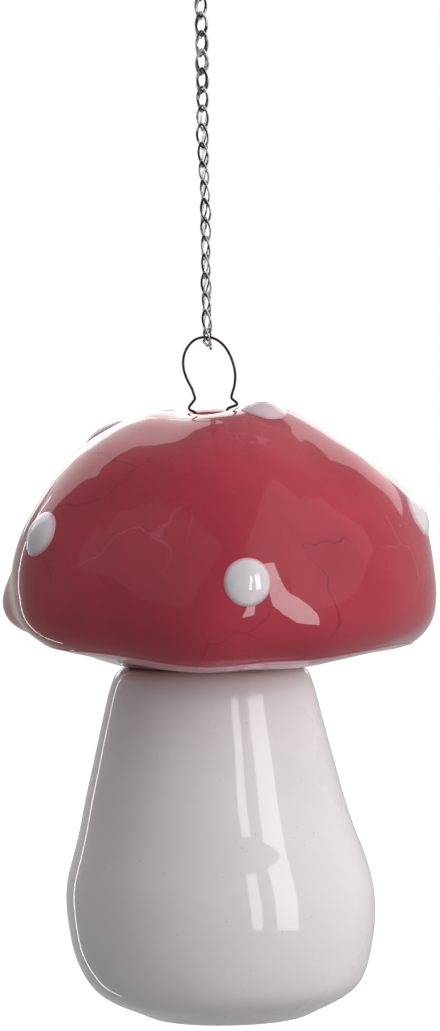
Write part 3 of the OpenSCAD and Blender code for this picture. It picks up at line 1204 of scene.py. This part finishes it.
def paper():
    finish, nodes, links, shader, where = new_finish("white_paper")
    fibre = pattern(nodes, links, where, 40)
    share = remap(nodes, links, fibre.outputs["Fac"], 0.3, 0.7)
    pale = blend_colour(nodes, links, share, (0.33, 0.33, 0.33), (0.35, 0.35, 0.35))
    links.new(pale, shader.inputs["Base Color"])
    shader.inputs["Roughness"].default_value = 0.9
    shader.inputs["Emission Color"].default_value = (1, 1, 1, 1)
    glow = remap(nodes, links, seen_rays(nodes, links), 0, 1, 0, PAPER_GLOW)
    links.new(glow, shader.inputs["Emission Strength"])
    return finish


floor_sheet.data.materials.append(paper())
floor_sheet.visible_glossy = False

# %% World
world = bpy.data.worlds.new("white_room")
bpy.context.scene.world = world
world.use_nodes = True
room, room_links = world.node_tree.nodes, world.node_tree.links
backdrop = room["Background"]
backdrop.inputs["Color"].default_value = (1, 1, 1, 1)


def room_side(towards):
    """From -1 to 1: how far a ray looks in that direction."""
    way = room.new("ShaderNodeTexCoord")
    dot = room.new("ShaderNodeVectorMath")
    dot.operation = "DOT_PRODUCT"
    dot.inputs[1].default_value = Vector(towards).normalized()
    room_links.new(way.outputs["Generated"], dot.inputs[0])
    return dot.outputs["Value"]


def choose(share, first, second):
    """first where share is 0 and second where it is 1."""
    pick = room.new("ShaderNodeMix")
    for socket, value in ((0, share), (2, first), (3, second)):
        if isinstance(value, (int, float)):
            pick.inputs[socket].default_value = value
        else:
            room_links.new(value, pick.inputs[socket])
    return pick.outputs[0]


ROOM_DIM = 0.28
ROOM_BRIGHT = 0.45
rays = room.new("ShaderNodeLightPath")
behind = room_side((0, 1, 0))
to_right = room_side((1, -0.2, 0.2))
back_wall = remap(room, room_links, behind, 0.6, 0.95, ROOM_DIM, ROOM_BRIGHT)
right_wall = remap(room, room_links, to_right, -0.2, 0.8, ROOM_DIM, ROOM_BRIGHT)
mirrored = room.new("ShaderNodeMath")
mirrored.operation = "MAXIMUM"
room_links.new(back_wall, mirrored.inputs[0])
room_links.new(right_wall, mirrored.inputs[1])
light = remap(room, room_links, room_side((0.5, 0.78, 0.3)), -0.9, 0.9, 0.14, 0.34)
strength = choose(seen_rays(room, room_links), light, mirrored.outputs[0])
strength = choose(rays.outputs["Is Camera Ray"], strength, 1)
room_links.new(strength, backdrop.inputs["Strength"])


# %% [markdown]
# The lamps are soft boxes round the mushroom, each given by its azimuth from the front
# towards the right and its height, both in degrees, its distance and its size in metres,
# and its brightness. The window and the slit in front make the two long strips on the
# stem and the mark beside the front dot. The walls behind draw the pale bands on the
# cap's shoulders, and the thin strip behind on the left draws the bright line along the
# left edges. The four fills light the glaze and are left out of every mirror.

# %% Lamps
LAMP_AIM = 45


def soft_box(name, azimuth, height, away, wide, high, glow, mirrored=True, roll=0):
    """A soft box that looks at the mushroom. glow is its brightness beside white paper's 1."""
    light = bpy.data.lights.new(name, "AREA")
    light.shape = "RECTANGLE"
    light.size, light.size_y = wide, high
    light.energy = glow * pi * wide * high
    lamp = bpy.data.objects.new(name, light)
    bpy.context.collection.objects.link(lamp)
    level, turn = radians(height), radians(azimuth)
    middle = Vector((AXIS_X, 0, FOOT_Z + LAMP_AIM)) * MM
    way = Vector((sin(turn) * cos(level), -cos(turn) * cos(level), sin(level)))
    aim = (-way).to_track_quat("-Z", "Y").to_matrix().to_4x4()
    spin = Matrix.Rotation(radians(roll), 4, "Z")
    lamp.matrix_world = Matrix.Translation(middle + way * away) @ aim @ spin
    lamp.visible_camera = False
    lamp.visible_glossy = mirrored
    print(name, round(light.energy, 2), "W")
    return lamp


soft_box("front_window", 50.5, 6.4, 1, 0.32, 0.72, 3.9)
soft_box("front_slit", 26, 5.8, 1, 0.14, 0.69, 4)
soft_box("back_wall", 180, 20, 1.2, 1, 0.62, 1.3)
soft_box("back_left_wall", -147, 37, 1.2, 1, 0.82, 1.05, roll=4)
soft_box("back_right_wall", 149, 32, 1.2, 0.62, 0.58, 1, roll=-4)
soft_box("left_edge_strip", -141, -8, 1.2, 0.035, 1.5, 4.5)
soft_box("right_room", 62, 38, 1.2, 1.3, 0.95, 0.27, roll=16)
soft_box("left_room", -48, 36, 1.2, 1, 0.9, 0.13, roll=-12)
soft_box("front_fill", 49, 23, 1.2, 0.8, 0.8, 1.85, mirrored=False)
soft_box("right_fill", 134, 0, 1.2, 0.9, 0.9, 3.2, mirrored=False)
soft_box("left_fill", -85, 16, 1.2, 0.8, 1, 0.38, mirrored=False)
soft_box("ceiling_fill", 170, 70, 1, 0.9, 0.9, 1.2, mirrored=False)

# %% Sizes of the imported model and of the drawn pieces
visual_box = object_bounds()
for side, cad, seen in zip("xyz", zip(*cad_box), zip(*visual_box)):
    print(side, [round(v / MM, 2) for v in cad], [round(v / MM, 2) for v in seen])
